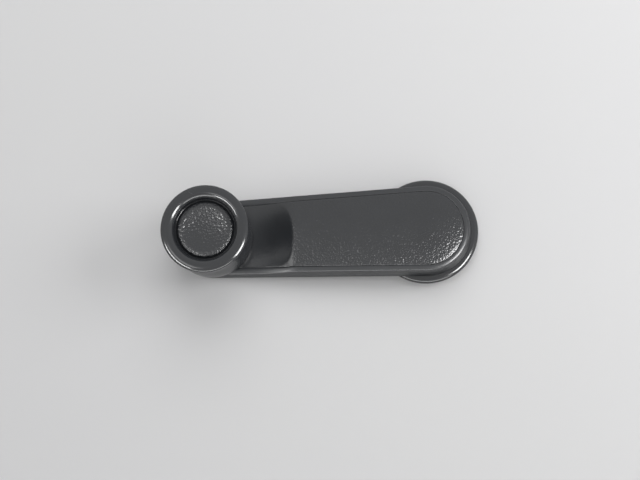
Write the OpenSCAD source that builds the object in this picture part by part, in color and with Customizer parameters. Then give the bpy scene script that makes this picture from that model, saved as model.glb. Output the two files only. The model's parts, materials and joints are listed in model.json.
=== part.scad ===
// Window crank handle of a car door: a moulded arm on a splined hub, with a
// spinning knob, a trim disc behind the hub and a spring clip for the spindle.
// The spindle's axis is Z, the door's trim panel is the plane z = 0, and the
// arm points along -X.  All sizes are in millimetres.

/* [Layout] */
// Distance from the spindle's axis to the knob's axis
crank_radius = 91.5; // [80:0.5:115]

/* [Trim disc] */
// Diameter of the disc
disc_d = 45.3; // [44:0.1:54]
// Height of the disc over the door's panel
disc_h = 3.8; // [3.4:0.1:5]
// Thickness of the disc's skin
disc_wall = 1.5; // [1.1:0.1:1.8]
// Radius of the roll at the disc's edge
disc_edge_r = 1.9; // [1:0.1:2.2]
// Height of the lip that snaps over the collar's bead
lip_h = 1.8; // [1.4:0.1:2]
// How far the top falls from the arm to the roll
disc_fall = 0.3; // [0.2:0.1:0.5]
// How far the roll hangs over the disc's foot
disc_tuck = 0.4; // [0.2:0.1:0.8]
// Number of ribs under the disc
disc_ribs = 8; // [4:1:12]

/* [Arm] */
// Radius of the arm's foot round the hub
hub_foot_r = 19.6; // [19.2:0.1:21]
// Radius of the arm's foot round the knob's axis
tip_foot_r = 16.6; // [15.8:0.1:17.6]
// Height of the arm's wall at the hub
arm_h = 8; // [7.8:0.1:10]
// How far the wall leans in from its foot to its top edge
wall_lean = 1.5; // [0.8:0.05:2]
// Thickness of the arm's side wall
arm_wall = 2; // [1.4:0.1:2.6]
// Radius of the arm's top edge
rim_round = 0.9; // [0.4:0.1:1.2]
// How far the underside rises from the hub to the tip
foot_rise = 0.8; // [0:0.1:1]
// How far the top dips to the knob's seat
dip_depth = 2.8; // [2:0.1:3]
// Where the dip starts, from the spindle's axis
dip_start = 57.5; // [50:0.5:60]
// Length of the dip's sweep
dip_run = 17.5; // [12:0.5:20]
// Thickness of the web under the cover
web_t = 1.1; // [0.9:0.1:1.3]
// Thickness of the ribs in the hollow underside
rib_t = 1.2; // [0.8:0.1:1.6]
// How far the ribs stop short of the arm's foot
rib_short = 1; // [0.4:0.1:1.4]
// Pitch of the cross ribs
rib_pitch = 13; // [11:0.5:18]
// Angle between the ribs round the hub
hub_rib_step = 40; // [36:1:45]

/* [Cover] */
// Width of the smooth rim between the cover and the arm's top edge
rim_w = 2.15; // [1.8:0.05:3]
// Thickness of the cover at its edge
cover_t = 1.4; // [1.2:0.1:1.6]
// How far the cover bulges in its middle
crown_h = 1.5; // [0.6:0.1:2]
// Radius of the stakes that hold the cover
stake_r = 1.3; // [1:0.1:1.6]
// How far a stake's head sticks out round its stem
stake_lip = 0.7; // [0.4:0.1:0.9]
// Thickness of a stake's head
stake_head_t = 0.8; // [0.6:0.1:1.2]

/* [Steel core] */
// Thickness of the strap
core_t = 1.5; // [1.2:0.1:1.6]
// Width of the strap
core_w = 12.4; // [11.4:0.1:12.6]
// Gap between the strap and the ribs beside it
strap_room = 0.4; // [0.3:0.1:0.6]

/* [Hub] */
// Outer radius of the plastic collar that the disc turns on
collar_r = 11.4; // [10.8:0.1:12]
// Height of the bead at the collar's mouth
bead_h = 1.1; // [0.8:0.1:1.2]
// How far the bead stands out from the collar
bead_lip = 0.6; // [0.4:0.05:0.7]
// Play of the disc round the bead
bead_room = 0.3; // [0.2:0.1:0.4]
// Outer radius of the steel socket
socket_r = 8.6; // [8.2:0.1:9]
// Radius of the socket's spigot, staked through the strap
spigot_r = 6.6; // [6.2:0.1:7]
// Radius of the plain bore at the socket's mouth
pilot_r = 5.6; // [5.4:0.05:5.8]
// Length of the plain bore
pilot_len = 3; // [2.4:0.1:3.2]
// Radius to the roots of the splines
spline_root_r = 5.2; // [5.1:0.05:5.3]
// Radius to the tips of the splines
spline_tip_r = 4.7; // [4.5:0.05:4.8]
// Number of splines
spline_count = 20; // [16:1:24]

/* [Spring clip] */
// Diameter of the clip's wire
clip_wire_d = 1.5; // [1.2:0.1:1.7]
// Distance between the centres of the clip's legs
clip_gauge = 9.2; // [8.8:0.1:9.6]
// How far the legs reach past the spindle's axis
clip_reach = 5.5; // [4:0.5:7]
// Distance from the spindle's axis to the start of the bow
clip_stem = 10.5; // [9.5:0.5:12]
// How far the clip lies below the middle of the hub
clip_low = 0.4; // [0:0.1:0.6]

/* [Knob] */
// Height of the knob, without its pin
knob_h = 26.7; // [25:0.1:30]
// Radius of the knob's flared foot
knob_foot_r = 17.3; // [16.8:0.1:18]
// How far the foot's lower edge is rounded in
foot_edge_w = 1.2; // [0.8:0.1:1.6]
// Height of the rounding under the foot's widest place
foot_edge_h = 2.4; // [1.6:0.1:3]
// Radius of the knob's waist
knob_waist_r = 16.2; // [15.6:0.1:16.6]
// Height of the waist over the foot's widest place
waist_rise = 14.5; // [12:0.5:17]
// Radius of the knob's rolled ring
knob_ring_r = 18.2; // [17.6:0.05:18.8]
// Radius of the ring's crest
knob_crest_r = 15.4; // [15.2:0.1:16.4]
// How far the ring's crest stands over its widest place
ring_outer_h = 1.5; // [1:0.1:2.2]
// How far the ring's round slopes down into the well
ring_inner_h = 3.2; // [1.6:0.1:3.4]
// Radius of the well that holds the cap
well_r = 12.6; // [12.4:0.1:13.2]
// Depth of the well under the crest
well_depth = 5.7; // [5:0.1:6.5]
// Thickness of the knob's outer wall at the waist
knob_wall = 2.4; // [1.8:0.1:3]
// Outer radius of the knob's bearing tube
tube_r = 7.4; // [6.6:0.1:8.4]
// Thickness of the floor that carries the pin's head
knob_floor_t = 2.6; // [2:0.1:3.4]
// Number of ribs inside the knob
knob_ribs = 6; // [3:1:9]

/* [Knob cap] */
// Radius of the cap's face
cap_r = 11.4; // [11.4:0.1:12]
// Height of the cap's edge over its ledge
cap_h = 3; // [2.6:0.1:3.4]
// How far the cap's face is dished
cap_dish = 0.9; // [0.4:0.1:1]
// Radius of the cap's rounded edge
cap_edge_r = 1.2; // [0.6:0.1:1.4]
// Outer radius of the cap's plug
plug_r = 10.85; // [10.4:0.05:11]
// Wall of the cap's plug
plug_wall = 1.5; // [1:0.1:2]
// Length of the cap's plug
plug_len = 3; // [2:0.1:3.2]
// Room under the cap's plug
plug_room = 1; // [0.8:0.1:1.4]

/* [Knob pin] */
// Radius of the pin's bearing shoulder
pin_r = 4; // [3.6:0.05:4.4]
// Radius of the pin's head
pin_head_r = 6.4; // [5.8:0.1:7]
// Thickness of the pin's head
pin_head_t = 1.8; // [1.4:0.1:2.2]
// Radius of the tenon that is riveted through the strap
tenon_r = 2.5; // [2.2:0.1:3]
// Radius of the riveted end
rivet_r = 4.2; // [3.8:0.1:4.8]
// Thickness of the riveted end
rivet_t = 1; // [0.7:0.1:1]
// Thickness of the washer under the knob
washer_t = 0.8; // [0.5:0.1:1]
// Height of the dished spring washer under the pin's head
spring_h = 0.9; // [0.7:0.1:1.2]
// Thickness of the spring washer
spring_t = 0.5; // [0.4:0.05:0.6]

/* [Clearances] */
// Gap between the disc's top and the arm's foot
foot_gap = 0.4; // [0.3:0.1:0.8]
// Height of the hub's mouth over the door's panel
mouth_gap = 0.5; // [0.4:0.05:0.6]
// Running gap of the disc round the collar
disc_fit = 0.1; // [0.05:0.01:0.2]
// Running gap of the knob round its pin
knob_fit = 0.06; // [0.03:0.01:0.1]
// Gap of the pin in the arm and the strap
pin_fit = 0.1; // [0.05:0.01:0.2]
// Groove between the cover and the arm's rim
cover_gap = 0.2; // [0.2:0.05:0.5]
// Gap of a stake in its hole
stake_fit = 0.15; // [0.1:0.05:0.3]
// Gap of the clip's wire in its slots
clip_fit = 0.2; // [0.15:0.05:0.3]
// Gap of the cap's plug in the knob
cap_fit = 0.05; // [0.02:0.01:0.1]
// Gap between the knob's foot and the cover
knob_gap = 0.5; // [0.4:0.1:0.8]

/* [Hidden] */
$fn = 96;
blend_fn = 48;
overrun = 60;

plastic = [0.17, 0.175, 0.18];
grained = [0.13, 0.135, 0.14];
steel = [0.72, 0.73, 0.74];
nylon = [0.86, 0.85, 0.8];

disc_r = disc_d / 2;
foot_z = disc_h + foot_gap;
rim_z = foot_z + arm_h;
recess_z = rim_z - cover_t;
web_z = recess_z - web_t;
core_z = web_z - core_t;
cover_proud = 0.15;
bend_lead = 3;
scoop_lead = 1;

hub_rim_r = hub_foot_r - wall_lean;
tip_rim_r = tip_foot_r - wall_lean;
hub_recess_r = hub_rim_r - rim_w;
tip_recess_r = tip_rim_r - rim_w;
hub_cover_r = hub_recess_r - cover_gap;
tip_cover_r = tip_recess_r - cover_gap;

dip_angle = 2 * atan(dip_depth / dip_run);
dip_r = dip_run / sin(dip_angle);
dip_end = dip_start + dip_run;
dip_steps = 12;
dip_line = concat([[overrun, 0]], dip_points(dip_depth), [[-crank_radius - overrun, -dip_depth]]);
crown_z = rim_z + cover_proud + crown_h;
crown_r = (hub_cover_r * hub_cover_r + crown_h * crown_h) / (2 * crown_h);
seat_z = rim_z - dip_depth + cover_proud;

channel_w = core_w + 2 * strap_room;
clip_z = (foot_z + core_z) / 2 - clip_low;
spring_z = seat_z + washer_t;

knob_z = seat_z + knob_gap;
crest_z = knob_z + knob_h;
ledge_z = crest_z - well_depth;
floor_z = ledge_z - plug_len - plug_room;
head_z = floor_z + spring_h;

// Where the cross ribs stand
rib_xs = [for (x = [-hub_foot_r - rib_pitch / 2:-rib_pitch:-dip_end]) x];
hub_rib_turns = [for (a = [0.5:2.5], side = [-1, 1]) side * a * hub_rib_step];

// Places of the cover's stakes, each in the middle of a cell between the ribs
stake_y = (channel_w / 2 + rib_t + tip_rim_r - arm_wall) / 2;
stake_places = [
    for (x = [rib_xs[0] + rib_pitch / 2, rib_xs[1] - rib_pitch / 2], side = [-1, 1]) [x, side * stake_y],
    [(collar_r + hub_rim_r - arm_wall) / 2, 0]
];

// Points of the dip's sweep, for a given depth
function dip_points(depth) =
    let (
        angle = 2 * atan(depth / dip_run),
        r = dip_run / sin(angle)
    )
    [for (i = [0:dip_steps]) let (a = angle * (1 - i / dip_steps))
        [-dip_end + r * sin(a), -depth + r * (1 - cos(a))]];

// Points of an oval arc round a centre
function oval(c, rx, ry, a0, a1, n = 8) =
    [for (i = [0:n]) let (a = a0 + (a1 - a0) * i / n) c + [rx * cos(a), ry * sin(a)]];

// Points of a smooth sweep between two radii, upright at both ends
function sweep_up(r0, z0, r1, z1, n = 10) =
    [for (i = [1:n - 1]) let (t = i / n) [r0 + (r1 - r0) * (1 - cos(180 * t)) / 2, z0 + (z1 - z0) * t]];

// Outline of an arm: two arcs joined by their common tangents
module tapered_slot(r_hub, r_tip) {
    turn = 90 + asin((r_hub - r_tip) / crank_radius);
    polygon(concat(
        oval([0, 0], r_hub, r_hub, -turn, turn, 32),
        oval([-crank_radius, 0], r_tip, r_tip, turn, 360 - turn, 28)));
}

// One round end of the arm: a leaning wall with a rounded top edge
module arm_end(foot_r, base, top, edge) {
    lean = atan(wall_lean / arm_h);
    turn = 90 - lean;
    rim = foot_r - wall_lean * (top - base) / arm_h;
    mid = rim - edge * tan(turn / 2);
    rotate_extrude($fn = blend_fn)
        polygon(concat([[0, base], [foot_r, base]],
            oval([mid, top - edge], edge, edge, lean, 90, 3), [[0, top]]));
}

// The arm's full outer form before the dip is cut, or a hollow inside it that
// starts some way below the foot
module arm_form(inset, drop, top, edge) {
    out = drop * wall_lean / arm_h - inset;
    hull() {
        arm_end(hub_foot_r + out, foot_z - drop, top, edge);
        translate([-crank_radius, 0, 0])
            arm_end(tip_foot_r + out, foot_z + foot_rise - drop, top, edge);
    }
}

// A slab across the arm, between its top line moved to two heights
module dip_slab(low, high) {
    rotate([90, 0, 0])
        linear_extrude(2 * overrun, center = true)
            polygon(concat(
                [for (p = dip_line) p + [0, rim_z + low]],
                [for (i = [len(dip_line) - 1:-1:0]) dip_line[i] + [0, rim_z + high]]));
}

// The crown over the cover: a barrel along the arm that ends as a ball at the hub
module crown() {
    translate([0, 0, crown_z - crown_r])
        rotate([0, -90, 0])
            rotate_extrude($fn = 240) {
                square([crown_r, crank_radius + overrun]);
                intersection() {
                    circle(r = crown_r);
                    translate([0, -crown_r]) square([crown_r, crown_r + 1]);
                }
            }
}

// What is cut from the crown to bend it down along the dip
module crown_bend() {
    translate([-dip_end, 0, crown_z - dip_depth + dip_r])
        rotate([90, 0, 0])
            rotate([0, 0, -90])
                rotate_extrude(angle = dip_angle + bend_lead, $fn = 240)
                    difference() {
                        translate([dip_r - arm_h, -hub_foot_r]) square([2 * arm_h, 2 * hub_foot_r]);
                        translate([dip_r + crown_r, 0]) circle(r = crown_r);
                    }
}

// What is scooped out of the bent crown, down to the flat seat of the knob
module crown_scoop() {
    line = dip_points(dip_depth + crown_h);
    rise = line[0] - line[1];
    translate([scoop_lead, 0, crown_z])
        rotate([90, 0, 0])
            linear_extrude(2 * overrun, center = true)
                polygon(concat([line[0] + 2 * rise], line,
                    [[-crank_radius - overrun, -dip_depth - crown_h], [-crank_radius - overrun, overrun]]));
}

module arm_body() {
    color(plastic)
        difference() {
            union() {
                difference() {
                    arm_form(0, 0, rim_z, rim_round);
                    dip_slab(0, overrun);
                    intersection() {
                        linear_extrude(overrun) tapered_slot(hub_recess_r, tip_recess_r);
                        dip_slab(-cover_t, overrun);
                    }
                    arm_hollow();
                }
                translate([0, 0, mouth_gap]) cylinder(r = collar_r, h = web_z - mouth_gap);
                translate([0, 0, disc_h]) cylinder(r = collar_r + bead_lip, h = web_z - disc_h);
                collar_bead();
            }
            translate([0, 0, -1]) cylinder(r = socket_r, h = core_z + 1);
            core_blank(pin_fit);
            clip_slots();
            for (p = stake_places)
                translate(p) cylinder(r = stake_r + stake_fit, h = overrun);
            translate([-crank_radius, 0, 0]) cylinder(r = pin_r + pin_fit, h = overrun);
        }
}

// The hollow underside, less the ribs left standing in it
module arm_hollow() {
    depth = cover_t + web_t;
    difference() {
        arm_form(arm_wall, 1, rim_z - depth, 0.4);
        dip_slab(-depth, overrun);
        for (side = [-1, 1])
            translate([-crank_radius, side * (channel_w + rib_t) / 2 - rib_t / 2, foot_z + rib_short])
                cube([crank_radius - collar_r + 1, rib_t, overrun]);
        for (x = rib_xs, side = [-1, 1])
            translate([x - rib_t / 2, side > 0 ? channel_w / 2 : -channel_w / 2 - overrun, foot_z + rib_short])
                cube([rib_t, overrun, overrun]);
        for (turn = hub_rib_turns)
            rotate([0, 0, turn])
                translate([collar_r - 1, -rib_t / 2, foot_z + rib_short])
                    cube([hub_foot_r, rib_t, overrun]);
    }
}

// The bead that the disc snaps over
module collar_bead() {
    out = collar_r + bead_lip;
    rotate_extrude()
        translate([0, mouth_gap])
            polygon([[socket_r, 0], [collar_r - bead_room, 0], [out, bead_h * 0.6], [out, bead_h],
                [collar_r, bead_h], [socket_r, bead_h]]);
}

// Two slots across the hub for the legs of the clip
module clip_slots() {
    w = clip_wire_d + 2 * clip_fit;
    for (side = [-1, 1])
        translate([-clip_stem - collar_r, side * clip_gauge / 2 - w / 2, clip_z - w / 2])
            cube([clip_stem + 2 * collar_r + 1, w, w]);
}

module arm_cover() {
    color(grained) {
        difference() {
            intersection() {
                linear_extrude(overrun) tapered_slot(hub_cover_r, tip_cover_r);
                crown();
                dip_slab(-cover_t, overrun);
            }
            crown_bend();
            crown_scoop();
            translate([-crank_radius, 0, 0]) cylinder(r = pin_r + pin_fit, h = overrun);
        }
        for (p = stake_places) translate(p) stake();
    }
}

// A stake through the web with its head formed underneath
module stake() {
    translate([0, 0, web_z - stake_head_t]) {
        cylinder(r = stake_r, h = web_t + stake_head_t + cover_t / 2);
        cylinder(r1 = stake_r + stake_lip / 2, r2 = stake_r + stake_lip, h = stake_head_t);
    }
}

// The strap's outline, grown all round by a gap
module core_outline(grow) {
    translate([-crank_radius, 0]) circle(r = core_w / 2 + grow);
    circle(r = socket_r - pin_fit + grow);
    translate([-crank_radius, -core_w / 2 - grow]) square([crank_radius, core_w + 2 * grow]);
}

// The strap without its holes
module core_blank(grow) {
    depth = cover_t + web_t;
    intersection() {
        linear_extrude(overrun) core_outline(grow);
        dip_slab(-depth - core_t, -depth);
    }
}

module arm_core() {
    color(steel)
        difference() {
            core_blank(0);
            cylinder(r = spigot_r + pin_fit / 2, h = overrun);
            translate([-crank_radius, 0, 0]) cylinder(r = tenon_r + pin_fit / 2, h = overrun);
        }
}

module hub_socket() {
    color(steel)
        difference() {
            union() {
                translate([0, 0, mouth_gap]) cylinder(r = socket_r, h = core_z - mouth_gap);
                cylinder(r = spigot_r, h = web_z);
            }
            translate([0, 0, -1]) cylinder(r = pilot_r, h = mouth_gap + pilot_len + 1);
            linear_extrude(overrun) spline_outline();
            clip_slots();
        }
}

// Section of the splined bore
module spline_outline() {
    step = 360 / spline_count;
    polygon([for (i = [0:spline_count - 1], e = [[0, spline_tip_r], [0.2, spline_tip_r],
        [0.5, spline_root_r], [0.7, spline_root_r]])
        e[1] * [cos((i + e[0]) * step), sin((i + e[0]) * step)]]);
}

module retaining_clip() {
    leg = clip_stem + clip_reach;
    color(steel)
        translate([0, 0, clip_z]) {
            for (side = [-1, 1])
                translate([-clip_stem, side * clip_gauge / 2, 0])
                    rotate([0, 90, 0]) cylinder(d = clip_wire_d, h = leg);
            translate([-clip_stem, 0, 0])
                rotate([0, 0, 90])
                    rotate_extrude(angle = 180) translate([clip_gauge / 2, 0]) circle(d = clip_wire_d);
        }
}

module escutcheon() {
    hole = collar_r + disc_fit;
    inner = collar_r + bead_lip + disc_wall;
    outer = disc_r - disc_wall;
    top = disc_h - disc_fall;
    color(plastic)
        difference() {
            rotate_extrude()
                polygon(concat([[hole, disc_h - lip_h], [hole, disc_h]],
                    oval([disc_r - disc_edge_r, top - disc_edge_r], disc_edge_r, disc_edge_r, 90, 0),
                    [[disc_r - disc_tuck, 0], [hole, 0]]));
            translate([0, 0, -1]) cylinder(r = collar_r + bead_lip + bead_room, h = 1 + disc_h - lip_h);
            difference() {
                translate([0, 0, -1]) difference() {
                    cylinder(r = outer, h = 1 + top - disc_wall);
                    translate([0, 0, -1]) cylinder(r = inner, h = overrun);
                }
                for (i = [0:disc_ribs - 1])
                    rotate([0, 0, i * 360 / disc_ribs])
                        translate([inner - 1, -rib_t / 2, 0.4]) cube([outer - inner + 2, rib_t, disc_h]);
            }
        }
}

// The knob's outer profile, from its foot up to the ledge of its well
function knob_side() =
    let (
        widest_z = knob_z + foot_edge_h,
        waist_z = widest_z + waist_rise,
        ring_z = crest_z - ring_outer_h
    )
    concat(
        oval([knob_foot_r - foot_edge_w, widest_z], foot_edge_w, foot_edge_h, -90, 0),
        sweep_up(knob_foot_r, widest_z, knob_waist_r, waist_z),
        sweep_up(knob_waist_r, waist_z, knob_ring_r, ring_z),
        oval([knob_crest_r, ring_z], knob_ring_r - knob_crest_r, ring_outer_h, 0, 90),
        oval([knob_crest_r, crest_z - ring_inner_h], knob_crest_r - well_r, ring_inner_h, 90, 180),
        [[well_r, ledge_z], [0, ledge_z]]
    );

module knob_body() {
    color(plastic)
        difference() {
            rotate_knob() polygon(concat([[0, knob_z]], knob_side()));
            translate([-crank_radius, 0, 0]) {
                cylinder(r = pin_r + knob_fit, h = overrun);
                translate([0, 0, floor_z]) cylinder(r = plug_r + cap_fit, h = overrun);
                translate([0, 0, knob_z - 1]) cylinder(r = tube_r + 0.4, h = 1 + spring_z - knob_z);
            }
            knob_hollow();
        }
}

// Turns a half section round the knob's axis
module rotate_knob() {
    translate([-crank_radius, 0, 0]) rotate_extrude() children();
}

// The hollow inside the knob, less its ribs
module knob_hollow() {
    outer = knob_waist_r - knob_wall;
    top = floor_z - knob_floor_t;
    difference() {
        rotate_knob()
            polygon([[tube_r, knob_z - 1], [outer + 0.8, knob_z - 1], [outer, top - 2], [outer - 2, top], [tube_r, top]]);
        translate([-crank_radius, 0, 0])
            for (i = [0:knob_ribs - 1])
                rotate([0, 0, i * 360 / knob_ribs])
                    translate([tube_r - 1, -rib_t / 2, knob_z + 4]) cube([outer - tube_r + 3, rib_t, overrun]);
    }
}

module knob_cap() {
    face_z = ledge_z + cap_h;
    face_r = cap_r - cap_edge_r;
    dish_r = (face_r * face_r + cap_dish * cap_dish) / (2 * cap_dish);
    color(grained)
        difference() {
            rotate_knob() {
                polygon(concat([[0, ledge_z], [cap_r, ledge_z]],
                    oval([face_r, face_z - cap_edge_r], cap_edge_r, cap_edge_r, 0, 90), [[0, face_z]]));
                translate([plug_r - plug_wall, ledge_z - plug_len]) square([plug_wall, plug_len]);
            }
            translate([-crank_radius, 0, face_z - cap_dish + dish_r]) sphere(r = dish_r, $fn = 240);
        }
}

module knob_pin() {
    low = core_z - dip_depth;
    color(steel)
        rotate_knob()
            polygon(concat(
                [[0, low - rivet_t], [rivet_r * 0.6, low - rivet_t], [rivet_r, low - rivet_t * 0.4],
                    [rivet_r, low], [tenon_r, low], [tenon_r, low + core_t], [pin_r, low + core_t],
                    [pin_r, head_z], [pin_head_r, head_z], [pin_head_r, head_z + pin_head_t * 0.5]],
                [[pin_head_r * 0.7, head_z + pin_head_t], [0, head_z + pin_head_t]]));
}

module knob_washer() {
    color(nylon)
        translate([-crank_radius, 0, seat_z])
            difference() {
                cylinder(r = tube_r, h = washer_t);
                translate([0, 0, -1]) cylinder(r = pin_r + pin_fit, h = washer_t + 2);
            }
}

module knob_spring_washer() {
    inner = pin_r + 0.3;
    outer = pin_head_r + 0.5;
    land = 0.4;
    color(steel)
        rotate_knob()
            translate([0, floor_z])
                polygon([[inner, spring_h - spring_t], [inner, spring_h], [inner + land, spring_h],
                    [outer, spring_t], [outer, 0], [outer - land, 0]]);
}

arm_body();
arm_cover();
arm_core();
hub_socket();
retaining_clip();
escutcheon();
knob_body();
knob_cap();
knob_pin();
knob_washer();
knob_spring_washer();
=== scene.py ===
import json
import math

import bmesh
import bpy
from mathutils import Matrix, Vector


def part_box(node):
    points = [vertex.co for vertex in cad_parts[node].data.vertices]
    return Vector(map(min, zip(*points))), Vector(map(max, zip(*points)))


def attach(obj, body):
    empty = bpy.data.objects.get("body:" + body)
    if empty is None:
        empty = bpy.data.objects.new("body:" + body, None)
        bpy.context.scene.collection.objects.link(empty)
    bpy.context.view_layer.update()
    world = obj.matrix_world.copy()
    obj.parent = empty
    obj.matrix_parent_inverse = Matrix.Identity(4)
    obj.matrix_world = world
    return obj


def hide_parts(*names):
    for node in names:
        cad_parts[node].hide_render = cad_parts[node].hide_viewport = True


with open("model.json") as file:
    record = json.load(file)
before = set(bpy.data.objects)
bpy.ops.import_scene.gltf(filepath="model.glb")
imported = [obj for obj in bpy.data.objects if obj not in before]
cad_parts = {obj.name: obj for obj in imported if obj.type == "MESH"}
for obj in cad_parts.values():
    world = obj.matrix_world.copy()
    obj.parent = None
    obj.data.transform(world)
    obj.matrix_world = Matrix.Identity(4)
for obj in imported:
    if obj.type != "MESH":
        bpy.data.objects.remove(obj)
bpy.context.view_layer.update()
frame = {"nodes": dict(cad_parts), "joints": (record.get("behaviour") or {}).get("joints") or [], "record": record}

# All sizes below are in millimetres; MM turns them into Blender's metres
MM = 0.001
NODES = frame["nodes"]


def box_mm(node):
    """Lowest and highest corner of a CAD node in millimetres."""
    low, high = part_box(node)
    return low / MM, high / MM


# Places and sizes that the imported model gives
KNOB_X = next(j for j in frame["joints"] if j["name"] == "knob_spin")["pos_m"][0] / MM
KNOB_LOW, KNOB_HIGH = box_mm("knob_body")
DISC_LOW, DISC_HIGH = box_mm("escutcheon")
CAP_LOW, CAP_HIGH = box_mm("knob_cap")
ARM_LOW, ARM_HIGH = box_mm("arm_body")
SOCKET_LOW, SOCKET_HIGH = box_mm("hub_socket")
CLIP_LOW, CLIP_HIGH = box_mm("retaining_clip")
WASHER_TOP = box_mm("knob_washer")[1].z

# The arm's outside: end radii, walls that lean inwards, and the rim round the cover
HUB_R = ARM_HIGH.x
TIP_R = KNOB_X - ARM_LOW.x
RIM_Z = ARM_HIGH.z
DISC_CLEAR = 0.4
FOOT_Z = DISC_HIGH.z + DISC_CLEAR
FOOT_RISE = 0.8
FOOT_EDGE = 0.3
WALL_LEAN = 1.5
RIM_ROUND = 0.9
RIM_ACROSS = 1.9
RIM_WIDTH = 2.15
GROOVE_EDGE = 0.24
RECESS_MARGIN = 0.2

# The arm's hollow underside with its corner as distances in and down, its ribs and the strap's channel
ARM_WALL = 2.0
WEB = 1.1
WEB_Z = SOCKET_HIGH.z
HOLLOW_CORNER = ((0.0, 0.4), (0.12, 0.12), (0.4, 0.0))
RIB = 1.2
RIB_PITCH = 13.0
RIB_SHORT = 1.0
RIB_XS = [-HUB_R - RIB_PITCH * (0.5 + i) for i in range(4)]
HUB_RIB_TURNS = (20, 60, 100, -20, -60, -100)
HUB_RIB_PAST = 9.0
STRAP_T = 1.5
STRAP_W = 12.4
STRAP_ROOM = 0.1
STRAP_PAST_CLIP = 4.0
CHANNEL_ROOM = 0.8
CHANNEL = STRAP_W + CHANNEL_ROOM

# The dip of the arm's top to the knob's seat
DIP_START = 57.5
DIP_RUN = 17.5
DIP_DEPTH = 2.8
DIP_SOFT = 1.8
SCOOP_LEAD = 1.0

# The grained cover: a gap all round, a shoulder that rolls down, and a crown
COVER_GAP = 0.06
COVER_THICK = 1.4
COVER_PROUD = 0.15
COVER_ROLL = 0.32
COVER_SHOULDER = 1.6
SHOULDER_INSETS = (0.0, 0.04, 0.12, 0.25, 0.45, 0.7, 1.0, 1.3, COVER_SHOULDER)
COVER_RINGS = 48
COVER_SKIN = 1.05
COVER_FALL = 8.0
CREASE_SOFT = (0.6, 0.4)
CROWN = 1.5
CROWN_Z = RIM_Z + COVER_PROUD + CROWN
COVER_HUB_R = HUB_R - WALL_LEAN - RIM_WIDTH - COVER_GAP
COVER_TIP_R = TIP_R - WALL_LEAN - RIM_WIDTH - COVER_GAP
CROWN_R = (COVER_HUB_R ** 2 + CROWN ** 2) / (2 * CROWN)

# The pebble grain. It is fainter in the dip, and so is the roll of the cover's shoulder
GRAIN_PITCH = 1.1
GRAIN_DEPTH = 0.025
GRAIN_START = 0.15
GRAIN_FULL = 0.75
PEBBLE_STEEP = 3.3
DIP_GRAIN = 0.08
DIP_ROLL = 0.2
FADE_FROM = -(DIP_START + 1)
FADE_TO = -(DIP_START - 2)

# The collar, the clip's slots, the pin's hole and the stakes
SOCKET_R = SOCKET_HIGH.x
COLLAR_R = 11.4
COLLAR_LEAD = 0.3
COLLAR_SUNK = 0.3
BEAD_LIP = 0.6
BEAD_HIGH = 1.1
BEAD_RAMP = 0.6
CLIP_FIT = 0.2
SLOT_PAST_CLIP = 2.0
SLOT_SHORT = 3.0
PIN_R = 4.0
PIN_HOLE_ROOM = 0.1
STAKE_R = 1.3
STAKE_ROOM = 0.15
STAKE_HEAD_R = 2.0
STAKE_TIP_R = 1.65
STAKE_HEAD = 0.8
STAKE_LONG = 1.5

# The trim disc
DISC_R = DISC_HIGH.x
DISC_FALL = 0.3
DISC_WALL = 1.5
DISC_ROLL = 1.9
DISC_TUCK = 0.4
DISC_LIP = 1.8
DISC_FIT = 0.1
DISC_BEAD_ROOM = 0.3
DISC_RIBS = 8
DISC_RIB_SHORT = 0.4
DISC_RIB_SUNK = 1.0

# The knob
RING_R = KNOB_HIGH.x - KNOB_X
CREST_R = 15.4
RING_OUTER = 1.5
RING_INNER = 3.2
KNOB_FOOT_R = 17.3
KNOB_WAIST_R = 16.2
KNOB_FOOT_EDGE = 1.2
KNOB_FOOT_HIGH = 2.4
KNOB_WAIST_RISE = 14.5
KNOB_WALL = 2.4
KNOB_DRAFT = 0.8
KNOB_FLOOR = 2.6
KNOB_HAUNCH = 2.0
KNOB_RIBS = 6
KNOB_RIB_SHORT = 4.0
TUBE_R = 7.4
PIN_FIT = 0.06
WELL_R = 12.6
WELL_DEPTH = 5.7
TUBE_RIB_SUNK = 0.5
WALL_RIB_SUNK = 0.6
ROOF_RIB_SUNK = 0.3

# The knob's cap with its plug, and the groove round it as distances in from the well's wall and
# down from the lap
CAP_R = CAP_HIGH.x - KNOB_X
CAP_EDGE = 1.1
CAP_EDGE_ACROSS = 2.0
CAP_EDGE_STEEP = 30
CAP_DISH = 1.2
CAP_RINGS = 44
CAP_ROOM = 0.04
CAP_LAP = 0.03
CAP_GROOVE = ((0.0, 0.55), (0.05, 0.72), (0.2, 0.82), (0.4, 0.78), (0.8, 0.4))
CAP_GRAIN_REACH = 0.1
CAP_GRAIN_FADE = 0.5
PLUG_R = 10.85
PLUG_WALL = 1.5
PLUG_LONG = 3.0
PLUG_ROOM = 1.0
PLUG_FIT = 0.05

# Cutters run past what they cut, to places that are well clear of the arm
OVERRUN = 1.0
TALL = 40.0
FAR = 50.0
ABOVE_RIM = RIM_Z + 3.0
TOP_ZONE = RIM_Z - 2.0

# Meshes: how near doubled points lie, the radius that closes a ring, how near in height the points of one
# level lie, the circle that a shell starts from, and the turn between a fillet's points
MERGE = 0.004
SPECK = 0.002
TINY = 0.001
SAME_LEVEL = 1.0
BLANK_R = 10
FILLET_TURN = 15

# The camera, seen from the table on which the handle lies: distances from the
# trim disc's left edge, along the arm and across it
FOCAL_PX = 1200.0
FRAME_PX = 640.0
SENSOR = 36.0
VIEW_DISTANCE = 522.8
VIEW_ELEVATION = 80.87
VIEW_TURN = -2.12
VIEW_ALONG = -23.8
VIEW_ACROSS = -1.47

# The pale table and the room
TABLE_SIZE = 3000.0
TABLE_GREY = (0.70, 0.70, 0.71)
TABLE_CLOUD = 1.03
ROOM_LEVEL = 0.5

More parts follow.
